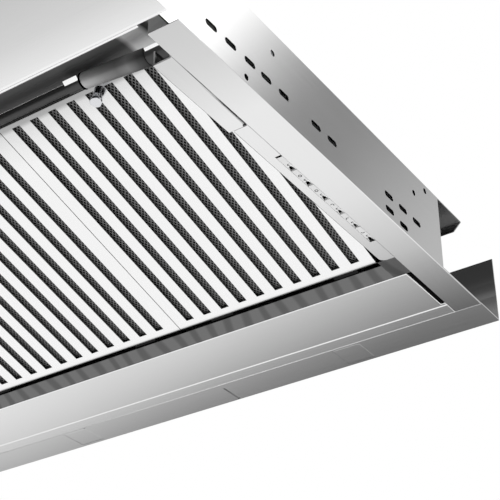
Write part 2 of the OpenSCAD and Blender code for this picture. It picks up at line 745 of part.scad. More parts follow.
module control_housing() color(black) {
    plate(housing_x0, housing_x1, window_y0, window_y1, housing_h - sheet, housing_h);
    plate(housing_x0, housing_x0 + sheet, window_y0, window_y1, sheet, housing_h);
    plate(housing_x1 - sheet, housing_x1, window_y0, window_y1, housing_low_z, housing_h);
    for (y = [window_y0, window_y1 - sheet])
        plate(housing_x0, housing_x1 - 2 * sheet, y, y + sheet, sheet, housing_h);
    for (y = [window_y0 + window_margin, window_y1 - window_margin])
        translate([(housing_x0 + housing_x1) / 2, y, board_z + board_t])
            cylinder(r = post_r, h = housing_h - board_z - board_t);
}

function key_y(i) = key_row_y + (i - (key_count - 1) / 2) * key_pitch;
key_mid_x = trim_x - clear - key_w / 2;

module control_board() color("#2f6b3a") {
    plate(housing_x0 + 2 * sheet, housing_x1 - 2 * sheet, window_y0 + 2 * sheet, window_y1 - 2 * sheet,
        board_z, board_z + board_t);
    for (i = [0 : key_count - 1]) translate([key_mid_x - key_stem / 2, key_y(i), board_z - sheet])
        cylinder(r = switch_r, h = sheet + board_t / 2);
}

module key(i) color("#f2f2f2") if (i < key_count) translate([key_mid_x, key_y(i), 0]) {
    key_front = -key_l / 2 + (i == 0 ? first_key_cut : 0);
    plate(-key_w / 2, key_w / 2, key_front, key_l / 2, 0, key_t);
    plate(-key_w / 2 - key_lap, key_w / 2 - clear, key_front, key_l / 2, key_t, key_t + key_flange);
    translate([-key_stem / 2, 0, key_t]) cylinder(r = key_stem / 2, h = stem_top_z - key_t);
}
module key_1() key(0);
module key_2() key(1);
module key_3() key(2);
module key_4() key(3);
module key_5() key(4);
module key_6() key(5);

// Lamps and supply

lamp_rim = 4;
lamp_r = lens_r + lamp_rim;
lamp_h = 22;
lens_low_z = 0.2;
lens_t = 2.8;
module lamp_bodies() color(black) both_sides() translate([lamp_x, lamp_y, sheet]) difference() {
    cylinder(r = lamp_r, h = lamp_h);
    translate([0, 0, -over]) cylinder(r = lens_r + lens_gap, h = over + lens_low_z + lens_t - sheet);
}
module lamp_lenses() color("#f6f6f0") both_sides() translate([lamp_x, lamp_y, lens_low_z])
    cylinder(r = lens_r, h = lens_t);

box_w = 80;
box_d = 80;
box_h = 42;
box_wall = 1.5;
box_side_room = 62.8;
box_rear_room = 29.5;
box_x = wall_in_x - box_side_room - box_w;
box_y = wall_rear_y - box_rear_room - box_d;
box_mid_y = box_y + box_d / 2;
thread_r = 8;
gland_r = 11;
gland_hex_l = 7;
gland_cap_r = 9;
gland_l = 18;
gland_nut_l = 4;
gland_inside = 6;
cable_r = 4;
module at_gland() translate([box_x + box_w, box_mid_y, top_z + box_h / 2]) rotate([0, 90, 0]) children();

module junction_box() color(dark) difference() {
    translate([box_x, box_y, top_z]) cube([box_w, box_d, box_h]);
    translate([box_x + box_wall, box_y + box_wall, top_z + box_wall])
        cube([box_w - 2 * box_wall, box_d - 2 * box_wall, box_h - 2 * box_wall]);
    at_gland() translate([0, 0, -box_wall - over]) cylinder(r = thread_r + run, h = box_wall + 2 * over);
}

module cable_gland() color(black) at_gland() difference() {
    union() {
        translate([0, 0, -box_wall - gland_inside])
            cylinder(r = thread_r, h = box_wall + gland_inside + gland_l / 2);
        translate([0, 0, -box_wall - gland_nut_l]) linear_extrude(height = gland_nut_l)
            circle(r = gland_r, $fn = 6);
        linear_extrude(height = gland_hex_l) circle(r = gland_r, $fn = 6);
        translate([0, 0, gland_hex_l]) cylinder(r = gland_cap_r, h = gland_l - gland_hex_l);
    }
    translate([0, 0, -box_wall - gland_inside - over])
        cylinder(r = cable_r, h = box_wall + gland_inside + gland_l + 2 * over);
}

front_trim();
right_trim();
left_trim();
cross_bar();
rear_filler();
filler_clips();
right_wall();
left_wall();
front_wall();
rear_wall();
top_panel();
rear_shelf();
air_guide();
front_rail();
rail_collars();
rail_sleeves();
rail_ends();
drip_ledge();
grease_tray();
control_cover();
control_fascia();
left_cover();
control_housing();
control_board();
key_1();
key_2();
key_3();
key_4();
key_5();
key_6();
right_filter_face();
right_filter_mesh();
right_filter_back();
right_filter_knob();
middle_filter_face();
middle_filter_mesh();
middle_filter_back();
middle_filter_knob();
left_filter_face();
left_filter_mesh();
left_filter_back();
left_filter_knob();
blower_front();
blower_rear();
blower_sides();
blower_top();
scroll_housing();
inlet_rings();
motor();
motor_bracket();
blower_wheel();
duct_spigot();
damper_pin();
damper_front();
damper_rear();
lamp_bodies();
lamp_lenses();
junction_box();
cable_gland();
case_screws();
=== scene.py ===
import bpy
import bmesh
import json
import math
import numpy as np
from mathutils import Matrix, Vector


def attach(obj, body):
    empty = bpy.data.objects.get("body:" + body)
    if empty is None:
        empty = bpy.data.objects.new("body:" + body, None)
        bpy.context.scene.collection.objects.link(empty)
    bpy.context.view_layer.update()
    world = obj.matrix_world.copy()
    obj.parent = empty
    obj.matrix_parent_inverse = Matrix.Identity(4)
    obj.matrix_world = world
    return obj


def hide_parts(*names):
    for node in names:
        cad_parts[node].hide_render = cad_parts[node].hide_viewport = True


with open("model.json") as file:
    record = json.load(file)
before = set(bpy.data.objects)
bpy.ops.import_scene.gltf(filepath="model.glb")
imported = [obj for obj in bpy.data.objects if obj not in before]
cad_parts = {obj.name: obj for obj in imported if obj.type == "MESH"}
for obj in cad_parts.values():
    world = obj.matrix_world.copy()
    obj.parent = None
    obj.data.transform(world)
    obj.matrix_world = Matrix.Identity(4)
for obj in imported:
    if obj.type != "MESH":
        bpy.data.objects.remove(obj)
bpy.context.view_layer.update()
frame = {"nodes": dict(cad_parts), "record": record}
nodes = frame["nodes"]
mm = 0.001
print("frame loaded:", len(nodes), "nodes")


# Camera: below the hood, in front of it and to its right, on a long lens
photo = {"place": (744.5 * mm, -668.8 * mm, -555 * mm), "right": (0.8262, 0.5633, 0.0),
         "up": (0.3023, -0.4434, 0.8438), "ahead": (-0.4753, 0.6972, 0.5367), "lens": 97.13, "sensor": 36}
lensData = bpy.data.cameras.new("photoCamera")
lensData.lens = photo["lens"]
lensData.sensor_width = photo["sensor"]
lensData.clip_start = 0.01
cameraObject = bpy.data.objects.new("photoCamera", lensData)
bpy.context.scene.collection.objects.link(cameraObject)
# The camera's own axes are columns: right, up and the opposite of ahead
turn = Matrix((photo["right"], photo["up"], [-v for v in photo["ahead"]])).transposed().to_4x4()
cameraObject.matrix_world = Matrix.Translation(photo["place"]) @ turn
bpy.context.scene.camera = cameraObject
print("camera placed")


# Colours and nodes
def toLinear(hexText):
    # sRGB to linear: c / 12.92 below 0.04045, else ((c + 0.055) / 1.055) to the power 2.4
    parts = [int(hexText[i:i + 2], 16) / 255 for i in (1, 3, 5)]
    return tuple(c / 12.92 if c <= 0.04045 else ((c + 0.055) / 1.055) ** 2.4 for c in parts) + (1.0,)


def addNode(tree, kind, settings=None, inputs=None, links=None):
    # one node, with its settings, its sockets' values and the sockets it is fed from
    made = tree.nodes.new(kind)
    for key, value in (settings or {}).items():
        setattr(made, key, value)
    for key, value in (inputs or {}).items():
        made.inputs[key].default_value = value
    for key, source in (links or {}).items():
        tree.links.new(source, made.inputs[key])
    return made


def levelRamp(tree, source, stops):
    # greys along a coordinate: straight lines between the stops (place, linear level), flat beyond them
    first, last = stops[0][0], stops[-1][0]
    share = addNode(tree, "ShaderNodeMapRange", inputs={"From Min": first, "From Max": last},
                    links={"Value": source})
    ramp = addNode(tree, "ShaderNodeValToRGB", links={0: share.outputs[0]})
    points = ramp.color_ramp.elements
    points[0].color, points[1].color = (stops[0][1],) * 3 + (1,), (stops[-1][1],) * 3 + (1,)
    for place, level in stops[1:-1]:
        points.new((place - first) / (last - first)).color = (level,) * 3 + (1,)
    return ramp.outputs["Color"]


def blankMaterial(name):
    # an empty node tree to fill
    made = bpy.data.materials.new(name)
    made.use_nodes = True
    made.node_tree.nodes.clear()
    return made, made.node_tree


def finishMaterial(tree, shader):
    # the shader goes to the output
    addNode(tree, "ShaderNodeOutputMaterial", links={"Surface": shader.outputs[0]})


# Stainless steel sheet, ground along one direction: long fine lines that blur what it mirrors.
# The grain is about 0.1 mm on the real sheet and is drawn near 1 mm wide, so that it shows.
groundLook = {"grainMm": 0.9, "grainLengthMm": 60, "grainDetail": 3.0, "grainRoughness": 0.6, "darkest": 0.93,
              "bump": 0.35, "cloudScale": 9.0, "cloudDetail": 2.0, "cloudSpread": 0.06,
              "bandColour": "#4c4c4c", "bandScale": 0.314, "bandWander": 3.0, "bandDetail": 1.0,
              "bandDetailScale": 1.2, "bandFrom": 0.35, "bandTo": 0.95, "bandMost": 0.55}


def groundSteel(name, colour, roughness, along, depth=0.02, spread=0.04, slotShadeMm=None, paintedShade=None, metallic=1.0):
    # noise drawn out along one axis sets the tone, the roughness (plus or minus the spread) and the bump;
    # a slow cloud adds cloudSpread * (cloud - 1/2) to the roughness
    k = groundLook
    made, tree = blankMaterial(name)
    place = addNode(tree, "ShaderNodeTexCoord")
    scale = [1 / (k["grainMm"] * mm)] * 3
    scale["xyz".index(along)] = 1 / (k["grainLengthMm"] * mm)
    moved = addNode(tree, "ShaderNodeMapping", inputs={"Scale": scale}, links={"Vector": place.outputs["Object"]})
    grain = addNode(tree, "ShaderNodeTexNoise",
                    inputs={"Scale": 1.0, "Detail": k["grainDetail"], "Roughness": k["grainRoughness"]},
                    links={"Vector": moved.outputs[0]})
    cloud = addNode(tree, "ShaderNodeTexNoise", inputs={"Scale": k["cloudScale"], "Detail": k["cloudDetail"]},
                    links={"Vector": place.outputs["Object"]})
    low = addNode(tree, "ShaderNodeMapRange", inputs={"To Min": roughness - spread, "To Max": roughness + spread},
                  links={"Value": grain.outputs["Fac"]})
    smudge = addNode(tree, "ShaderNodeMath", {"operation": "MULTIPLY_ADD"},
                     {1: k["cloudSpread"], 2: -k["cloudSpread"] / 2}, {0: cloud.outputs["Fac"]})
    rough = addNode(tree, "ShaderNodeMath", {"operation": "ADD"}, links={0: low.outputs[0], 1: smudge.outputs[0]})
    base = toLinear(colour)
    tone = addNode(tree, "ShaderNodeMix", {"data_type": "RGBA"},
                   {6: tuple(c * k["darkest"] for c in base[:3]) + (1,), 7: base}, {0: grain.outputs["Fac"]})
    bump = addNode(tree, "ShaderNodeBump", inputs={"Strength": k["bump"], "Distance": depth * mm},
                   links={"Height": grain.outputs["Fac"]})
    surface = tone.outputs[2]
    if slotShadeMm:  # painted shade: soft dark patches at one pitch, under each slot, where the slots throw shade and dark reflections on the sheet
        wave = addNode(tree, "ShaderNodeTexWave", {"bands_direction": "X"},
                       {"Scale": k["bandScale"] / (slotShadeMm * mm), "Distortion": k["bandWander"],
                        "Detail": k["bandDetail"], "Detail Scale": k["bandDetailScale"]},
                       {"Vector": place.outputs["Object"]})
        soft = addNode(tree, "ShaderNodeMapRange", {"interpolation_type": "SMOOTHSTEP"},
                       {"From Min": k["bandFrom"], "From Max": k["bandTo"], "To Max": k["bandMost"]},
                       {"Value": wave.outputs["Fac"]})
        slotShaded = addNode(tree, "ShaderNodeMix", {"data_type": "RGBA"}, {7: toLinear(k["bandColour"])},
                         {0: soft.outputs[0], 6: surface})
        surface = slotShaded.outputs[2]
    if paintedShade:  # painted light and shade along one axis, both sides alike: the tone drawn darker or lighter where the sheet stands in shade or mirrors something dark or bright
        axis, stops = paintedShade
        axes = addNode(tree, "ShaderNodeSeparateXYZ", links={"Vector": place.outputs["Object"]})
        distance = axes.outputs[axis]
        if axis == "X":
            distance = addNode(tree, "ShaderNodeMath", {"operation": "ABSOLUTE"}, links={0: distance}).outputs[0]
        level = levelRamp(tree, distance, [(at * mm, value) for at, value in stops])
        shaded = addNode(tree, "ShaderNodeVectorMath", {"operation": "MULTIPLY"}, links={0: surface, 1: level})
        surface = shaded.outputs[0]
    shader = addNode(tree, "ShaderNodeBsdfPrincipled", inputs={"Metallic": metallic},
                     links={"Base Color": surface, "Roughness": rough.outputs[0], "Normal": bump.outputs["Normal"]})
    finishMaterial(tree, shader)
    return made


# Galvanised sheet: zinc crystals a few centimetres across, each of its own brightness
zincLook = {"crystalMm": 14, "dark": "#b4b7ba", "light": "#cdd0d2", "roughness": (0.34, 0.52)}


def zincSheet(name):
    # each cell's random colour, turned grey, sets the crystal's tone and its roughness
    made, tree = blankMaterial(name)
    place = addNode(tree, "ShaderNodeTexCoord")
    crystal = addNode(tree, "ShaderNodeTexVoronoi", inputs={"Scale": 1 / (zincLook["crystalMm"] * mm)},
                      links={"Vector": place.outputs["Object"]})
    grey = addNode(tree, "ShaderNodeRGBToBW", links={"Color": crystal.outputs["Color"]})
    tone = addNode(tree, "ShaderNodeMix", {"data_type": "RGBA"},
                   {6: toLinear(zincLook["dark"]), 7: toLinear(zincLook["light"])}, {0: grey.outputs[0]})
    least, most = zincLook["roughness"]
    rough = addNode(tree, "ShaderNodeMapRange", inputs={"To Min": least, "To Max": most},
                    links={"Value": grey.outputs[0]})
    shader = addNode(tree, "ShaderNodeBsdfPrincipled", inputs={"Metallic": 1.0},
                     links={"Base Color": tone.outputs[2], "Roughness": rough.outputs[0]})
    finishMaterial(tree, shader)
    return made


# Expanded aluminium mesh in folded layers: dark diagonal strands about 1.3 mm apart, crossing
# each other, drawn at 2.6 mm so that they show
meshLook = {"pitchMm": 2.6, "angle": 38, "waveScale": 0.32, "wander": 0.6, "detail": 1.0, "detailScale": 2.0,
            "strandFrom": 0.45, "gap": "#050505", "strand": "#8a8a8a", "bump": 0.8, "depthMm": 0.8,
            "metallic": 0.85, "roughness": 0.5}


def wovenMesh(name):
    # two waves, turned to one side and the other; the higher one is the strand on top
    k = meshLook
    made, tree = blankMaterial(name)
    place = addNode(tree, "ShaderNodeTexCoord")
    waves = []
    for side in (1, -1):
        turned = addNode(tree, "ShaderNodeMapping", inputs={"Rotation": (0, 0, math.radians(k["angle"] * side)),
                         "Scale": (1 / (k["pitchMm"] * mm),) * 3}, links={"Vector": place.outputs["Object"]})
        waves.append(addNode(tree, "ShaderNodeTexWave", {"bands_direction": "X"},
                             {"Scale": k["waveScale"], "Distortion": k["wander"], "Detail": k["detail"],
                              "Detail Scale": k["detailScale"]}, {"Vector": turned.outputs[0]}))
    woven = addNode(tree, "ShaderNodeMath", {"operation": "MAXIMUM"},
                    links={0: waves[0].outputs["Fac"], 1: waves[1].outputs["Fac"]})
    strand = addNode(tree, "ShaderNodeMapRange", {"interpolation_type": "SMOOTHSTEP"},
                     {"From Min": k["strandFrom"], "From Max": 1.0}, {"Value": woven.outputs[0]})
    # the gaps between the strands are painted near-black: painted shade for the dark inside seen through the mesh
    shade = addNode(tree, "ShaderNodeMix", {"data_type": "RGBA"},
                    {6: toLinear(k["gap"]), 7: toLinear(k["strand"])}, {0: strand.outputs[0]})
    bump = addNode(tree, "ShaderNodeBump", inputs={"Strength": k["bump"], "Distance": k["depthMm"] * mm},
                   links={"Height": woven.outputs[0]})
    shader = addNode(tree, "ShaderNodeBsdfPrincipled",
                     inputs={"Metallic": k["metallic"], "Roughness": k["roughness"]},
                     links={"Base Color": shade.outputs[2], "Normal": bump.outputs["Normal"]})
    finishMaterial(tree, shader)
    return made


# Chromed steel: turned, plated and polished, so it mirrors sharply
plateLook = {"colour": "#dcdde0", "roughness": (0.084, 0.168), "hazeScale": 60.0, "hazeDetail": 2.0}


def platedSteel(name):
    # a faint haze moves the roughness between its two ends
    made, tree = blankMaterial(name)
    place = addNode(tree, "ShaderNodeTexCoord")
    haze = addNode(tree, "ShaderNodeTexNoise",
                   inputs={"Scale": plateLook["hazeScale"], "Detail": plateLook["hazeDetail"]},
                   links={"Vector": place.outputs["Object"]})
    least, most = plateLook["roughness"]
    rough = addNode(tree, "ShaderNodeMapRange", inputs={"To Min": least, "To Max": most},
                    links={"Value": haze.outputs["Fac"]})
    shader = addNode(tree, "ShaderNodeBsdfPrincipled",
                     inputs={"Metallic": 1.0, "Base Color": toLinear(plateLook["colour"])},
                     links={"Roughness": rough.outputs[0]})
    finishMaterial(tree, shader)
    return made


# Moulded plastic: fine even texture from the mould, a little rougher in the hollows
plasticLook = {"detail": 2.0, "spread": 0.05, "darkest": 0.9, "bump": 0.25}


def mouldedPlastic(name, colour, roughness, grainMm=0.8, depth=0.03, ior=1.5):
    # even noise sets the tone, the roughness (plus or minus the spread) and the bump
    k = plasticLook
    made, tree = blankMaterial(name)
    place = addNode(tree, "ShaderNodeTexCoord")
    grain = addNode(tree, "ShaderNodeTexNoise", inputs={"Scale": 1 / (grainMm * mm), "Detail": k["detail"]},
                    links={"Vector": place.outputs["Object"]})
    rough = addNode(tree, "ShaderNodeMapRange",
                    inputs={"To Min": roughness - k["spread"], "To Max": roughness + k["spread"]},
                    links={"Value": grain.outputs["Fac"]})
    base = toLinear(colour)
    tone = addNode(tree, "ShaderNodeMix", {"data_type": "RGBA"},
                   {6: tuple(c * k["darkest"] for c in base[:3]) + (1,), 7: base}, {0: grain.outputs["Fac"]})
    bump = addNode(tree, "ShaderNodeBump", inputs={"Strength": k["bump"], "Distance": depth * mm},
                   links={"Height": grain.outputs["Fac"]})
    shader = addNode(tree, "ShaderNodeBsdfPrincipled", inputs={"IOR": ior},
                     links={"Base Color": tone.outputs[2], "Roughness": rough.outputs[0],
                            "Normal": bump.outputs["Normal"]})
    finishMaterial(tree, shader)
    return made


# Frosted lens: moulded glass with a satin inner face, which scatters the lamp's light
glassLook = {"colour": "#f2f2ee", "roughness": 0.35, "ior": 1.5, "transmission": 0.35, "grainScale": 700.0,
             "bump": 0.2, "depthMm": 0.05}


def frostedGlass(name):
    # fine noise roughens a surface that lets a share of the light through
    k = glassLook
    made, tree = blankMaterial(name)
    place = addNode(tree, "ShaderNodeTexCoord")
    grain = addNode(tree, "ShaderNodeTexNoise", inputs={"Scale": k["grainScale"]},
                    links={"Vector": place.outputs["Object"]})
    bump = addNode(tree, "ShaderNodeBump", inputs={"Strength": k["bump"], "Distance": k["depthMm"] * mm},
                   links={"Height": grain.outputs["Fac"]})
    shader = addNode(tree, "ShaderNodeBsdfPrincipled",
                     inputs={"Base Color": toLinear(k["colour"]), "Roughness": k["roughness"], "IOR": k["ior"],
                             "Transmission Weight": k["transmission"]}, links={"Normal": bump.outputs["Normal"]})
    finishMaterial(tree, shader)
    return made


finishes = {
    # front trim: painted shade, darker towards its outer edge and full tone at its inner edge
    "trimSteel": groundSteel("stainlessTrim", "#fafafa", 0.16, "x", paintedShade=(
        "Y", [(-260, 0.62), (-225, 0.72), (-204, 0.86), (-199.2, 0.9), (-198.3, 1), (-196, 1)])),
    # side trims, covers and key blades: painted shade, a little darker towards the front and darkest towards the rear
    "sideTrimSteel": groundSteel("stainlessSideTrim", "#f2f2f2", 0.14, "y", paintedShade=(
        "Y", [(-190, 0.71), (-150, 0.78), (-90, 0.97), (40, 1), (120, 0.93), (226, 0.62)])),
    # side walls: painted shade, near-black on the cut walls of the slots and on the inner face, for the dark inside
    # of the hood
    "sideWallSteel": groundSteel("stainlessSideWall", "#f4f4f4", 0.11, "y", depth=0.01, spread=0.02, paintedShade=(
        "X", [(354.8, 0.01), (355.7, 0.01), (355.95, 1), (356, 1)])),
    "wallSteel": groundSteel("stainlessWall", "#f0f0f0", 0.14, "y", depth=0.015, spread=0.03),
    # rear wall and shelf: a darker grey copy of the steel, painted shade where they stand in the hood's shadow
    "shelfSteel": groundSteel("stainlessShelf", "#8a8a8a", 0.34, "x", depth=0.005, spread=0.02),
    "panelSteel": groundSteel("stainlessPanel", "#f6f6f6", 0.14, "x"),
    # rear filler and clips: painted shade and reflection, bright at the underside and darker grey bands up its height
    "fillerSteel": groundSteel("stainlessFiller", "#eaeaea", 0.13, "x", paintedShade=(
        "Z", [(0, 1), (1.6, 1), (2.4, 0.7), (10, 0.65), (19, 0.36), (31, 0.3), (38, 0.7), (60, 0.7)])),
    # drip ledge: a darker grey than the other steel, painted shade where it lies behind the filters, with painted
    # shade patches under each slot
    "ledgeSteel": groundSteel("stainlessLedge", "#747474", 0.20, "x", slotShadeMm=17.8),
    # filter faces: painted shade, greyer at the front bend and near-black at the rear bend
    "slatSteel": groundSteel("stainlessSlats", "#fcfcfc", 0.22, "y", depth=0.003, spread=0.01, paintedShade=(
        "Y", [(-111, 0.42), (-105, 0.46), (-101.5, 0.8), (-88, 0.93), (-70, 1), (122, 1), (124.6, 0.6),
              (126.4, 0.1), (127, 0.015)])),
    # air guide: dark over most of its length, with painted reflections as bright bands near its ends
    "guideSteel": groundSteel("darkGuidePaintedBands", "#ffffff", 0.5, "x", depth=0.004, spread=0.02, metallic=0.5, paintedShade=(
        "X", [(0, 0.12), (200, 0.12), (240, 0.15), (270, 0.17), (275, 1), (289, 0.95), (294, 0.06), (298, 0.1),
              (306, 1)])),
    "railSteel": groundSteel("darkenedRail", "#4c4c4c", 0.4, "x", depth=0.005, metallic=0.5),
    # rail sleeves: painted shade and reflection, light grey at the inner end, near-black at the outer end
    "sleeveSteel": groundSteel("sleevePaintedShade", "#ffffff", 0.5, "x", depth=0.004, spread=0.02, metallic=0.5,
                               paintedShade=(
        "X", [(228, 0.62), (238, 0.5), (250, 0.3), (262, 0.2), (272, 0.26), (282, 0.08), (289, 0.03)])),
    # bright, smooth steel for pieces put only to show highlights: painted highlights
    "highlightSteel": groundSteel("steelForPaintedHighlights", "#fcfcfc", 0.12, "x", depth=0.004, spread=0.02),
    "zinc": zincSheet("galvanisedSheet"),
    "mesh": wovenMesh("wovenAluminium"),
    "plate": platedSteel("chromedSteel"),
    "blackPlastic": mouldedPlastic("blackNylon", "#191919", 0.5),
    # near-black and barely reflecting: for the strips and rings put in gaps and grooves as painted shade
    "paintedShadeBlack": mouldedPlastic("nearBlackForPaintedShade", "#060606", 0.8, ior=1.12),
    "keyPlastic": mouldedPlastic("whiteKeyPlastic", "#fdfdfd", 0.28, depth=0.005),
    "glyphPaint": mouldedPlastic("darkPadPrint", "#2c2c2c", 0.5, depth=0.005),
    "boardResin": mouldedPlastic("greenBoardResin", "#24603a", 0.4),
    "motorPaint": mouldedPlastic("motorPowderPaint", "#26272a", 0.45, grainMm=1.2, depth=0.08),
    "flapAluminium": groundSteel("rolledAluminiumFlap", "#d4d5d7", 0.36, "x"),
    "lensGlass": frostedGlass("frostedLensGlass"),
}
print("materials made:", len(finishes))

sides = ("right", "middle", "left")
finishNodes = {
    "trimSteel": ["front_trim"],
    "sideTrimSteel": ["right_trim", "left_trim", "control_cover", "control_fascia", "left_cover"],
    "sideWallSteel": ["right_wall", "left_wall"],
    "wallSteel": ["front_wall"],
    "shelfSteel": ["rear_wall", "rear_shelf"],
    "panelSteel": ["cross_bar", "grease_tray"],
    "fillerSteel": ["rear_filler", "filler_clips"],
    "ledgeSteel": ["drip_ledge"],
    "slatSteel": [side + "_filter_" + part for side in sides for part in ("face", "back")],
    "guideSteel": ["air_guide"],
    "railSteel": ["front_rail", "rail_collars", "rail_ends"],
    "sleeveSteel": ["rail_sleeves"],
    "zinc": ["top_panel", "blower_front", "blower_rear", "blower_sides", "blower_top", "scroll_housing",
             "motor_bracket", "duct_spigot", "junction_box"],
    "mesh": [side + "_filter_mesh" for side in sides],
    "plate": ["case_screws", "damper_pin"] + [side + "_filter_knob" for side in sides],
    "blackPlastic": ["control_housing", "lamp_bodies", "cable_gland", "inlet_rings", "blower_wheel"],
    "keyPlastic": ["key_%d" % number for number in range(1, 7)],
    "boardResin": ["control_board"],
    "motorPaint": ["motor"],
    "flapAluminium": ["damper_front", "damper_rear"],
    "lensGlass": ["lamp_lenses"],
}
nodeFinish = {member: finish for finish, members in finishNodes.items() for member in members}


def dress(target, finish):
    # one finish for the whole mesh
    target.data.materials.clear()
    target.data.materials.append(finishes[finish])


for name, target in nodes.items():
    dress(target, nodeFinish[name])
slotOf = {entry["node"]: entry["material_slot"] for entry in frame["record"]["subparts"]}
bodyOf = {member: body for body, members in frame["record"]["behaviour"]["bodies"].items() for member in members}


# Folded sheet: a copy of a node whose corners are rounded as a press brake leaves them. The second
# radius is for the edges that lie in the underside, which catch the light as thin bright lines; an
# apart entry gives the edges at one distance from an axis plane a radius of their own, and the alone
# entry rounds no edge but those.
foldedSheets = {
    "radii": {"front_trim": (0.4, 0.8), "right_trim": (0.35, 0.9), "left_trim": (0.35, 0.9),
              "cross_bar": (0.35, 0.95), "rear_filler": (0.3, 0.95), "filler_clips": (0.2, 0.3),
              "right_wall": (0.12, 0.12), "left_wall": (0.12, 0.12), "front_wall": (0.3, 0.3),
              "rear_wall": (0.3, 0.3), "rear_shelf": (0.4, 0.4), "drip_ledge": (0.3, 0.5),
              "grease_tray": (0.15, 0.8), "control_cover": (0.12, 0.3), "control_fascia": (0.12, 0.12),
              "left_cover": (0.12, 0.3), "top_panel": (0.3, 0.3), "blower_front": (0.4, 0.4),
              "blower_rear": (0.4, 0.4), "blower_sides": (0.4, 0.4), "blower_top": (0.3, 0.3),
              "cable_gland": (0.5, 0.5), "duct_spigot": (0.25, 0.25), "junction_box": (0.5, 0.5),
              "lamp_bodies": (0.6, 0.6), "lamp_lenses": (0.5, 0.5), "rail_collars": (0.5, 0.5),
              "rail_ends": (0.4, 0.4), "control_housing": (0.3, 0.3), "motor": (0.5, 0.5),
              "case_screws": (0.25, 0.25), **{"key_%d" % number: (0.3, 0.3) for number in range(1, 7)}},
    "apart": {"right_trim": (0, 339.6, 0), "left_trim": (0, 339.6, 0), "control_cover": (1, 77.31, 0.8),
              "rear_filler": (1, 226.4, 0.9)},
    "alone": ("rear_filler",), "steps": 3, "sharpAngle": 32, "weld": 0.002, "flatAngle": 0.4, "lowBelow": 0.05,
    "apartWithin": 0.2}


def linkPiece(name, mesh, body, slot, finish, *stoodFor):
    # a new piece that rides on a body and may stand for CAD nodes; its slot argument is not used
    piece = bpy.data.objects.new(name, mesh)
    bpy.context.scene.collection.objects.link(piece)
    dress(piece, finish)
    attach(piece, body)
    if stoodFor:
        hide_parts(*stoodFor)
    return piece


def addBevel(piece, widthMm, steps, method="ANGLE", angle=32):
    # rounded edges of one width in mm
    bevel = piece.modifiers.new("roundedEdges", "BEVEL")
    bevel.width = widthMm * mm
    bevel.segments = steps
    bevel.limit_method = method
    bevel.angle_limit = math.radians(angle)
    bevel.harden_normals = True
    bevel.use_clamp_overlap = True


def addSheet(piece, thickMm):
    # thickness behind the surface, away from the way it faces
    wall = piece.modifiers.new("sheetThickness", "SOLIDIFY")
    wall.thickness = thickMm * mm
    wall.offset = -1
    wall.use_even_offset = True


def roundedCopy(name, radius, lowRadius):
    # the node's own mesh with its doubles merged and its flat triangles joined; each sharp edge weighs
    # its radius over the wider one, and an edge with both ends in the underside takes the second radius
    k = foldedSheets
    mesh = nodes[name].data.copy()
    work = bmesh.new()
    work.from_mesh(mesh)
    bmesh.ops.remove_doubles(work, verts=work.verts, dist=k["weld"] * mm)
    bmesh.ops.dissolve_limit(work, angle_limit=math.radians(k["flatAngle"]), verts=work.verts, edges=work.edges)
    work.to_mesh(mesh)
    work.free()
    mesh.polygons.foreach_set("use_smooth", np.ones(len(mesh.polygons), bool))
    mesh.set_sharp_from_angle(angle=math.radians(k["sharpAngle"]))
    places = np.empty(len(mesh.vertices) * 3)
    mesh.vertices.foreach_get("co", places)
    places = places.reshape(-1, 3)
    ends = np.empty(len(mesh.edges) * 2, int)
    mesh.edges.foreach_get("vertices", ends)
    ends = ends.reshape(-1, 2)
    low = (places[ends][:, :, 2] < k["lowBelow"] * mm).all(axis=1)
    sharp = np.zeros(len(mesh.edges), bool)
    if "sharp_edge" in mesh.attributes:
        mesh.attributes["sharp_edge"].data.foreach_get("value", sharp)
    radii = np.where(low, lowRadius, radius)
    if name in k["apart"]:
        axis, distance, ownRadius = k["apart"][name]
        chosen = (abs(abs(places[ends][:, :, axis]) - distance * mm) < k["apartWithin"] * mm).all(axis=1)
        radii = np.where(chosen, ownRadius, 0 if name in k["alone"] else radii)
    widest = radii.max()
    weights = (sharp * radii / widest).astype(np.float32)
    mesh.attributes.new("bevel_weight_edge", "FLOAT", "EDGE").data.foreach_set("value", weights)
    piece = linkPiece(name + "Rounded", mesh, bodyOf[name], slotOf[name], nodeFinish[name], name)
    addBevel(piece, widest, k["steps"], "WEIGHT")


for name, (radius, lowRadius) in foldedSheets["radii"].items():
    roundedCopy(name, radius, lowRadius)
print("folded sheets rounded:", len(foldedSheets["radii"]))


# Surfaces from arrays: doubles nearer than the weld are merged, and edges past the sharp angle stay sharp
surfaces = {"weld": 0.001, "sharpAngle": 32}


def gridPart(grid, keep=None):
    # the points and the quads of one grid of rows by columns, the cells to keep chosen by a mask
    rows, columns = grid.shape[:2]
    index = np.arange(rows * columns).reshape(rows, columns)
    faces = np.stack([index[:-1, :-1], index[1:, :-1], index[1:, 1:], index[:-1, 1:]], axis=-1)
    return grid.reshape(-1, 3), (faces[keep] if keep is not None else faces.reshape(-1, 4))


def joinParts(parts):
    # parts one after the other, each part's faces moved on by the points before it
    starts = np.cumsum([0] + [len(points) for points, faces in parts[:-1]])
    return (np.concatenate([points for points, faces in parts]),
            np.concatenate([faces + start for (points, faces), start in zip(parts, starts)]))


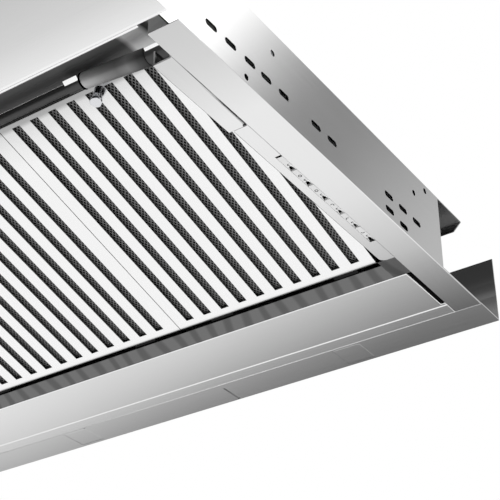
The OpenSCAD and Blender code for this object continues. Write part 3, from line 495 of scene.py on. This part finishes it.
def partMesh(name, parts, facing=None, smooth=True):
    # one mesh of all parts, doubles merged; a closed one faces outward, an open one the given way:
    # the sum of area times normal times that direction is positive
    points, faces = joinParts(parts)
    used, flat = np.unique(faces, return_inverse=True)
    mesh = bpy.data.meshes.new(name)
    mesh.from_pydata(points[used].tolist(), [], flat.reshape(faces.shape).tolist())
    work = bmesh.new()
    work.from_mesh(mesh)
    bmesh.ops.remove_doubles(work, verts=work.verts, dist=surfaces["weld"] * mm)
    bmesh.ops.recalc_face_normals(work, faces=work.faces)
    if facing is not None:
        if sum(face.calc_area() * face.normal.dot(Vector(facing)) for face in work.faces) < 0:
            bmesh.ops.reverse_faces(work, faces=work.faces)
    work.to_mesh(mesh)
    work.free()
    mesh.polygons.foreach_set("use_smooth", np.full(len(mesh.polygons), smooth))
    if smooth:
        mesh.set_sharp_from_angle(angle=math.radians(surfaces["sharpAngle"]))
    return mesh


def roundPart(stations, around=48):
    # rings in planes across x, radius r round a path: (x, cy + r cos a, cz + r sin a), stations in mm
    angles = np.linspace(0, 2 * math.pi, around + 1)
    x, cy, cz, r = np.asarray(stations, float).T[:, :, None]
    grid = np.stack(np.broadcast_arrays(x, cy + r * np.cos(angles), cz + r * np.sin(angles)), axis=-1) * mm
    return gridPart(grid)


def mirrored(part):
    # the same part at the other side, x turned into -x
    points, faces = part
    return points * np.array([-1, 1, 1]), faces


# Filter faces: one folded sheet each, with round bends at its front and rear edges
filterFace = {"rear": (126.6, 0.3), "tilt": 15.4, "length": 245.4, "height": 10.726, "sheet": 0.8, "bend": 4.0,
              "slotWidth": 7.6, "slotPitch": 17.8, "frontMargin": 5.3, "rearMargin": 9.3, "knobBack": 7.4,
              "knobHole": 3.15, "notch": 7.75, "hookLength": 14.89, "hookWidth": 22, "hookShare": 0.32,
              "bendSteps": 8, "notchRows": (3, 6), "facing": (0, 0.27, -0.96), "edgeRound": 0.18, "edgeSteps": 2,
              "edgeAngle": 50,
              "sides": {"right": (133.1, 189.7, 10), "middle": (-132.5, 265.0, 14), "left": (-322.8, 189.7, 10)}}


def onFilter(x, back, up):
    # filter plane to the frame: y = rear y + back cos t + up sin t, z = rear z - back sin t + up cos t
    t = math.radians(filterFace["tilt"])
    rearY, rearZ = filterFace["rear"]
    return np.stack(np.broadcast_arrays(x, rearY + back * math.cos(t) + up * math.sin(t),
                                        rearZ - back * math.sin(t) + up * math.cos(t)), axis=-1) * mm


def buildFilterFace(side, x0, width, slotCount):
    # a profile (front wall, quarter-round bend, face, bend, rear wall) carried across the width, with the
    # cells of the slots, of the knob's hole and of its notch left out, and a wall folded up at each side
    f = filterFace
    long, high, bend, middle = f["length"], f["height"], f["bend"], x0 + width / 2
    turn = np.linspace(0, math.pi / 2, f["bendSteps"] + 1)
    frontBend = np.stack([-long + bend - bend * np.cos(turn), bend - bend * np.sin(turn)], axis=1)
    rearBend = np.stack([-bend + bend * np.sin(turn), bend - bend * np.cos(turn)], axis=1)
    hole = [f["knobBack"] - f["knobHole"], f["knobBack"] + f["knobHole"]]
    flatRows = sorted([hole[0] - long, f["frontMargin"] - long, hole[1] - long, -f["rearMargin"]])
    hookUp = high - f["sheet"]
    profile = np.concatenate([[[-long, high]], frontBend, [[y, 0] for y in flatRows], rearBend,
                              [[0, hookUp], [0, high]]])
    centres = middle + (np.arange(slotCount) - (slotCount - 1) / 2) * f["slotPitch"]
    slots = np.stack([centres - f["slotWidth"] / 2, centres + f["slotWidth"] / 2], axis=1)
    hooks = [(middle + share * width - f["hookWidth"] / 2, middle + share * width + f["hookWidth"] / 2)
             for share in (-f["hookShare"], f["hookShare"])]
    marks = np.concatenate([slots.ravel(), np.ravel(hooks), [x0, x0 + width],
                            [middle + way * f[key] for key in ("knobHole", "notch") for way in (-1, 1)]])
    xs = np.unique(np.round(marks, 4))
    grid = onFilter(xs[None, :], profile[:, :1], profile[:, 1:])
    midX = (xs[:-1] + xs[1:]) / 2
    midRow = (profile[:-1] + profile[1:]) / 2
    inSlot = ((midX[:, None] > slots[:, 0]) & (midX[:, None] < slots[:, 1])).any(axis=1)
    inHook = np.any([(midX > a) & (midX < b) for a, b in hooks], axis=0)
    onFlat = midRow[:, 1] < 1e-6
    back = midRow[:, 0] + long
    cut = np.outer(onFlat & (back > f["frontMargin"]) & (midRow[:, 0] < -f["rearMargin"]), inSlot)
    cut |= np.outer(onFlat & (back > hole[0]) & (back < hole[1]), abs(midX - middle) < f["knobHole"])
    rowNumber = np.arange(len(midRow))
    notchFirst, notchLast = f["notchRows"]
    cut |= np.outer((rowNumber >= notchFirst) & (rowNumber < notchLast), abs(midX - middle) < f["notch"])
    cut |= np.outer(rowNumber == len(midRow) - 1, inHook)
    first = len(frontBend)
    last = first + len(flatRows) + 1
    flatY = profile[first:last + 1, 0]
    parts = [gridPart(grid, ~cut)]
    for x in (x0, x0 + width):
        parts.append(gridPart(onFilter(x, flatY[:, None], np.array([[0.0, high]]))))
    for a, b in hooks:
        parts.append(gridPart(onFilter(np.array([[a, b]]), np.array([[0.0], [f["hookLength"]]]), hookUp)))
    mesh = partMesh(side + "FilterFace", parts, f["facing"])
    piece = linkPiece(side + "FilterFace", mesh, side + "_filter", "steel", "slatSteel", side + "_filter_face")
    addSheet(piece, f["sheet"])
    addBevel(piece, f["edgeRound"], f["edgeSteps"], angle=f["edgeAngle"])


for side, (x0, width, slotCount) in filterFace["sides"].items():
    buildFilterFace(side, x0, width, slotCount)
print("filter faces folded")


# Rail sleeves: a tapered, slightly raked tube with rounded ends at each side, and a near-black ring
# at its inner end, put there as painted shade in the groove
railSleeve = {"start": (228.6, -120.9, 60.0), "end": (288.6, -122.3, 52.7), "radii": (6.3, 7.0), "round": 1.6,
              "roundSteps": 6, "around": 64, "ring": {"x": 228.1, "radius": 5.75, "thick": 0.7}}


def sleeveStations():
    # the radius eases in and out over a quarter round, from the axis to the full radius and back
    k = railSleeve
    start, end = np.array(k["start"]), np.array(k["end"])
    long, bend = end[0] - start[0], k["round"]
    ease = np.linspace(0, math.pi / 2, k["roundSteps"])
    along = np.concatenate([[0], bend * (1 - np.cos(ease)), long - bend * (1 - np.cos(ease[::-1])), [long]])
    full = k["radii"][0] + (k["radii"][1] - k["radii"][0]) * along / long
    inset = np.concatenate([[0], bend * (1 - np.sin(ease)), bend * (1 - np.sin(ease[::-1])), [0]])
    radius = full - inset
    radius[[0, -1]] = 0
    return np.column_stack([start + (end - start) * (along / long)[:, None], radius])


def ringPart(x, cy, cz, radius, thick, around=48, steps=16):
    # a torus round the x axis: (x + t cos b, cy + (r + t sin b) cos a, cz + (r + t sin b) sin a)
    a = np.linspace(0, 2 * math.pi, around + 1)[:, None]
    b = np.linspace(0, 2 * math.pi, steps + 1)[None, :]
    reachOut = radius + thick * np.sin(b)
    grid = np.stack(np.broadcast_arrays(x + thick * np.cos(b), cy + reachOut * np.cos(a),
                                        cz + reachOut * np.sin(a)), axis=-1) * mm
    return gridPart(grid)


sleeve = roundPart(sleeveStations(), railSleeve["around"])
linkPiece("railSleeves", partMesh("railSleeves", [sleeve, mirrored(sleeve)]), "hood", slotOf["rail_sleeves"],
          "sleeveSteel", "rail_sleeves")
# the ring is painted shade: a near-black ring where the groove at the sleeve's inner end is in shadow
ring = ringPart(railSleeve["ring"]["x"], *railSleeve["start"][1:], railSleeve["ring"]["radius"],
                railSleeve["ring"]["thick"])
linkPiece("sleeveShadeRings", partMesh("sleeveShadeRings", [ring, mirrored(ring)]), "hood", "black_plastic", "paintedShadeBlack")
print("sleeves lofted")


# Painted highlights at the rail: flat bright pads on the collars and the rail's ends, a thin bright wire
# over the rail and a thin bright strip along the front trim's inner edge, put where highlights show
railPads = {"across": (-0.8, 0.6), "out": (-0.6, -0.8), "thick": 0.7, "round": 0.28, "roundSteps": 3,
            "roundAngle": 50, "facing": (0, -0.79, -0.61),
            "collar": {"x": (214.6, 227.3), "axis": (-120.9, 60.0), "span": (2.1, 6.6), "height": 4.3},
            "end": {"x": (290.4, 338.0), "axis": (-122.3, 52.7), "span": (4.6, 7.4), "height": 5.7},
            "lip": {"x": 213.6, "axis": (-123.3, 63.2), "radius": 0.42},
            "edgeStrip": {"x": 339.2, "y": (-196.4, -194.7), "z": (0.2, 0.05), "thick": 0.35}}


def padPart(pad):
    # a flat grid that faces down and to the front: axis + across * span + out * height, along x
    across, out = np.array(railPads["across"]), np.array(railPads["out"])
    spans = np.linspace(*pad["span"], 4)[:, None]
    places = np.array(pad["axis"]) + across * spans + out * pad["height"]
    xs = np.linspace(*pad["x"], 6)
    grid = np.stack(np.broadcast_arrays(xs[None, :], places[:, :1], places[:, 1:]), axis=-1) * mm
    return gridPart(grid)


for key in ("collar", "end"):
    pad = padPart(railPads[key])
    mesh = partMesh(key + "Pads", [pad, mirrored(pad)], railPads["facing"], smooth=False)
    piece = linkPiece(key + "Pads", mesh, "hood", "steel", "highlightSteel")
    addSheet(piece, railPads["thick"])
    addBevel(piece, railPads["round"], railPads["roundSteps"], angle=railPads["roundAngle"])
# the wire over the rail and the strip at the trim's edge are painted highlights: thin bright lines where the edges
# catch the light
lip = railPads["lip"]
lipEnds = [[way * lip["x"], *lip["axis"], share * lip["radius"]]
           for way, share in ((-1, 0), (-1, 1), (1, 1), (1, 0))]
linkPiece("railTopHighlightWire", partMesh("railTopHighlightWire", [roundPart(lipEnds, 16)]), "hood", "steel", "highlightSteel")
edgeStrip = railPads["edgeStrip"]
edgeStripRows = np.linspace(0, 1, 4)[:, None]
edgeStripGrid = np.stack(np.broadcast_arrays(np.linspace(-edgeStrip["x"], edgeStrip["x"], 9)[None, :],
                                       edgeStrip["y"][0] + (edgeStrip["y"][1] - edgeStrip["y"][0]) * edgeStripRows,
                                       edgeStrip["z"][0] + (edgeStrip["z"][1] - edgeStrip["z"][0]) * edgeStripRows), axis=-1) * mm
piece = linkPiece("trimEdgeHighlight", partMesh("trimEdgeHighlight", [gridPart(edgeStripGrid)], (0, 0, -1)), "hood", "steel", "highlightSteel")
addSheet(piece, edgeStrip["thick"])
print("rail pads, lip and hem added")


# Keys: printed marks on the faces and a pair of blades between each two
keyRow = {"markX": 337.0, "firstY": -30.25, "pitch": 21.9, "long": 15.0, "proud": 0.015, "radii": (0.8, 1.45),
          "arcs": {2: (0, 360), 3: (0, 360), 4: (200, 430), 5: (150, 340), 6: (20, 200)},
          "hook": {"radii": (0.5, 1.1), "arc": (60, 330), "inset": 1.3, "x": 337.4},
          "notch": {"x": (334.6, 339.4), "spare": 0.15, "z": 0.03, "tipShare": 0.55, "sheet": 0.3, "power": 0.6,
                    "open": (1.0, 0.95, 0.85, 0.75, 0.7, 0.8)}}


def arcPart(x, y, radii, fromDeg, toDeg):
    # a flat arc: (x + r cos a, y + r sin a), r from the inner to the outer radius
    angles = np.radians(np.linspace(fromDeg, toDeg, 33))[:, None]
    reachOut = np.array(radii)[None, :]
    grid = np.stack(np.broadcast_arrays(x + reachOut * np.cos(angles), y + reachOut * np.sin(angles),
                                        -keyRow["proud"]), axis=-1) * mm
    return gridPart(grid)


def notchParts(y0, y1, share):
    # two flat blades that leave a wedge between them: its tip lies at the front and its width grows
    # to the rear as share * u to the power given, u from 0 to 1
    k = keyRow["notch"]
    u = np.linspace(0, 1, 7)[:, None]
    x0, x1 = k["x"]
    tip = x0 + (x1 - x0) * k["tipShare"]
    wide = share * u ** k["power"]
    low, high = tip - (tip - x0) * wide, tip + (x1 - tip) * wide
    v = np.linspace(0, 1, 3)[None, :]
    ys = y0 + (y1 - y0) * u
    for left, right in ((np.full_like(u, x0), low), (high, np.full_like(u, x1))):
        yield gridPart(np.stack(np.broadcast_arrays(left + (right - left) * v, ys, k["z"]), axis=-1) * mm)


def keyEnd(number):
    # the rear end of a key's face
    return keyRow["firstY"] + (number - 1) * keyRow["pitch"] + keyRow["long"] / 2


hook, notch = keyRow["hook"], keyRow["notch"]
for number in range(1, 7):
    marks = [arcPart(hook["x"], keyEnd(number) - hook["inset"], hook["radii"], *hook["arc"])]
    if number in keyRow["arcs"]:
        marks.append(arcPart(keyRow["markX"], keyEnd(number) - keyRow["long"] / 2, keyRow["radii"],
                             *keyRow["arcs"][number]))
    mesh = partMesh("keyMark%d" % number, marks, (0, 0, -1), smooth=False)
    piece = linkPiece("keyMark%d" % number, mesh, "key_%d" % number, "black_plastic", "glyphPaint")
    addSheet(piece, keyRow["proud"])
gap = keyRow["pitch"] - keyRow["long"]
blades = [part for number, share in enumerate(notch["open"], 1)
          for part in notchParts(keyEnd(number) + notch["spare"], keyEnd(number) + gap - notch["spare"], share)]
piece = linkPiece("keyBlades", partMesh("keyBlades", blades, (0, 0, -1)), "hood", "steel", "sideTrimSteel")
addSheet(piece, notch["sheet"])
print("keys marked")


# Black strips put in dark gaps as painted shade: at each end of the grease tray, in the keys' window
# in front of the first key, and along the inner edges of the covers
shadeStrips = {"trayRight": {"x": (335.0, 339.45), "y": (152.6, 210.8), "z": 1.1, "crown": 0.9},
         "trayLeft": {"x": (-339.45, -335.0), "y": (152.6, 210.8), "z": 1.1, "crown": 0.9},
         "window": {"x": (334.65, 339.35), "y": (-36.65, -34.9), "z": 0.5, "crown": 0.4},
         "cover": {"x": (323.7, 324.25), "y": (-160.0, -78.2), "z": 0.6, "crown": 0.4},
         "fascia": {"x": (327.2, 327.75), "y": (-76.2, 113.0), "z": 0.6, "crown": 0.4},
         "leftCover": {"x": (-324.25, -323.7), "y": (-160.0, 113.0), "z": 0.6, "crown": 0.4}}


def shadeStripPart(shadeStrip, steps=12):
    # a half-oval section carried along y, drawn in to a point at both ends
    turn = np.linspace(0, 2 * math.pi, 2 * steps + 1)
    half, centre = (shadeStrip["x"][1] - shadeStrip["x"][0]) / 2, sum(shadeStrip["x"]) / 2
    ys = np.array([shadeStrip["y"][0], shadeStrip["y"][0], shadeStrip["y"][1], shadeStrip["y"][1]])[:, None]
    size = np.array([0.0, 1.0, 1.0, 0.0])[:, None]
    grid = np.stack(np.broadcast_arrays(centre + size * half * np.cos(turn), ys,
                                        shadeStrip["z"] + size * shadeStrip["crown"] * np.sin(turn)), axis=-1) * mm
    return gridPart(grid)


for name, shadeStrip in shadeStrips.items():
    linkPiece(name + "ShadeStrip", partMesh(name + "ShadeStrip", [shadeStripPart(shadeStrip)]), "hood", "black_plastic", "paintedShadeBlack")
print("seals laid:", len(shadeStrips))


# Studio: a pale floor, soft lamps and a world that is white to the camera
studio = {"floorDepth": -0.82, "floorReach": 5.0, "floorColour": "#e6e6e4",
          "seen": [(0.8, 1.0), (0.99, 0.96), (1.087, 0.87), (1.186, 0.79), (1.236, 0.75), (1.285, 0.63), (1.36, 0.47),
                   (1.43, 0.33), (1.533, 0.17), (1.75, 0.12)],
          "shift": {"From Min": -1.5, "From Max": -0.25, "To Min": 0.3, "To Max": 0.02},
          "farRight": {"From Min": 0.5, "From Max": 0.95},
          "room": [(-1.0, 0.05), (-0.5, 0.06), (-0.3, 0.1), (-0.1, 0.4), (0.2, 0.75), (0.5, 1.85), (0.575, 1.75),
                   (0.61, 1.05), (0.64, 0.5), (0.665, 0.24), (0.70, 0.27), (0.76, 0.52), (1.0, 0.62)],
          "overhead": {"From Min": 0.05, "From Max": 0.3}, "beside": 0.8}
floorMesh = bpy.data.meshes.new("studioFloor")
floorMesh.from_pydata([(x * studio["floorReach"], y * studio["floorReach"], studio["floorDepth"])
                       for x, y in ((-1, -1), (1, -1), (1, 1), (-1, 1))], [], [(0, 1, 2, 3)])
floorObject = bpy.data.objects.new("studioFloor", floorMesh)
bpy.context.scene.collection.objects.link(floorObject)
floorMaterial, floorTree = blankMaterial("paleFloor")
rayKind = addNode(floorTree, "ShaderNodeLightPath")
floorPlace = addNode(floorTree, "ShaderNodeTexCoord")
floorAxes = addNode(floorTree, "ShaderNodeSeparateXYZ", links={"Vector": floorPlace.outputs["Object"]})
# What steel sees of the floor: white under the hood, darker towards the wall, sooner at the right
shift = addNode(floorTree, "ShaderNodeMapRange", inputs=studio["shift"], links={"Value": floorAxes.outputs["X"]})
reached = addNode(floorTree, "ShaderNodeMath", {"operation": "SUBTRACT"},
                  links={0: floorAxes.outputs["Y"], 1: shift.outputs[0]})
seenLevel = levelRamp(floorTree, reached.outputs[0], studio["seen"])
farRight = addNode(floorTree, "ShaderNodeMapRange", {"interpolation_type": "SMOOTHSTEP"}, studio["farRight"],
                   {"Value": floorAxes.outputs["X"]})
seenGrey = addNode(floorTree, "ShaderNodeMix", {"data_type": "RGBA"}, {7: (1, 1, 1, 1)},
                   {0: farRight.outputs[0], 6: seenLevel})
bounced = addNode(floorTree, "ShaderNodeMath", {"operation": "MAXIMUM"},
                  links={0: rayKind.outputs["Is Glossy Ray"], 1: rayKind.outputs["Is Diffuse Ray"]})
paint = addNode(floorTree, "ShaderNodeBsdfDiffuse", inputs={"Color": toLinear(studio["floorColour"])})
shown = addNode(floorTree, "ShaderNodeEmission", links={"Color": seenGrey.outputs[2]})
topSide = addNode(floorTree, "ShaderNodeMixShader", links={0: bounced.outputs[0], 1: paint.outputs[0],
                                                           2: shown.outputs[0]})
# A floor seen from beneath is clear, so the underside can be looked at from any angle
beneath = addNode(floorTree, "ShaderNodeNewGeometry")
clear = addNode(floorTree, "ShaderNodeBsdfTransparent")
oneSided = addNode(floorTree, "ShaderNodeMixShader", links={0: beneath.outputs["Backfacing"],
                                                            1: topSide.outputs[0], 2: clear.outputs[0]})
finishMaterial(floorTree, oneSided)
floorMesh.materials.append(floorMaterial)

world = bpy.data.worlds.new("studioWorld")
bpy.context.scene.world = world
world.use_nodes = True
worldTree = world.node_tree
worldTree.nodes.clear()
rays = addNode(worldTree, "ShaderNodeLightPath")
direction = addNode(worldTree, "ShaderNodeTexCoord")
axes = addNode(worldTree, "ShaderNodeSeparateXYZ", links={"Vector": direction.outputs["Generated"]})
# The room overhead, from the cook's side to the wall: a dark front, a bright panel and a grey band
roomLevel = levelRamp(worldTree, axes.outputs["Y"], studio["room"])
overhead = addNode(worldTree, "ShaderNodeMapRange", {"interpolation_type": "SMOOTHSTEP"}, studio["overhead"],
                   {"Value": axes.outputs["Z"]})
room = addNode(worldTree, "ShaderNodeMix", {"data_type": "RGBA"}, {6: (studio["beside"],) * 3 + (1,)},
               {0: overhead.outputs[0], 7: roomLevel})
skyColour = addNode(worldTree, "ShaderNodeMix", {"data_type": "RGBA"}, {7: (1, 1, 1, 1)},
                    {0: rays.outputs["Is Camera Ray"], 6: room.outputs[2]})
sky = addNode(worldTree, "ShaderNodeBackground", links={"Color": skyColour.outputs[2]})
addNode(worldTree, "ShaderNodeOutputWorld", links={"Surface": sky.outputs[0]})

lamps = {
    "keyLamp": {"place": (-1.6, -1.4, 0.5), "aim": (0, 0, 0), "size": 1.6, "power": 18},
    "fillLamp": {"place": (1.8, 0.4, 1.2), "aim": (0, 0, 0), "size": 1.4, "power": 12},
}
for name, lamp in lamps.items():
    data = bpy.data.lights.new(name, "AREA")
    data.energy = lamp["power"]
    data.size = lamp["size"]
    made = bpy.data.objects.new(name, data)
    made.location = lamp["place"]
    made.rotation_euler = (Vector(lamp["aim"]) - Vector(lamp["place"])).to_track_quat("-Z", "Y").to_euler()
    bpy.context.scene.collection.objects.link(made)
bpy.context.scene.view_settings.view_transform = "Standard"
print("studio lit")
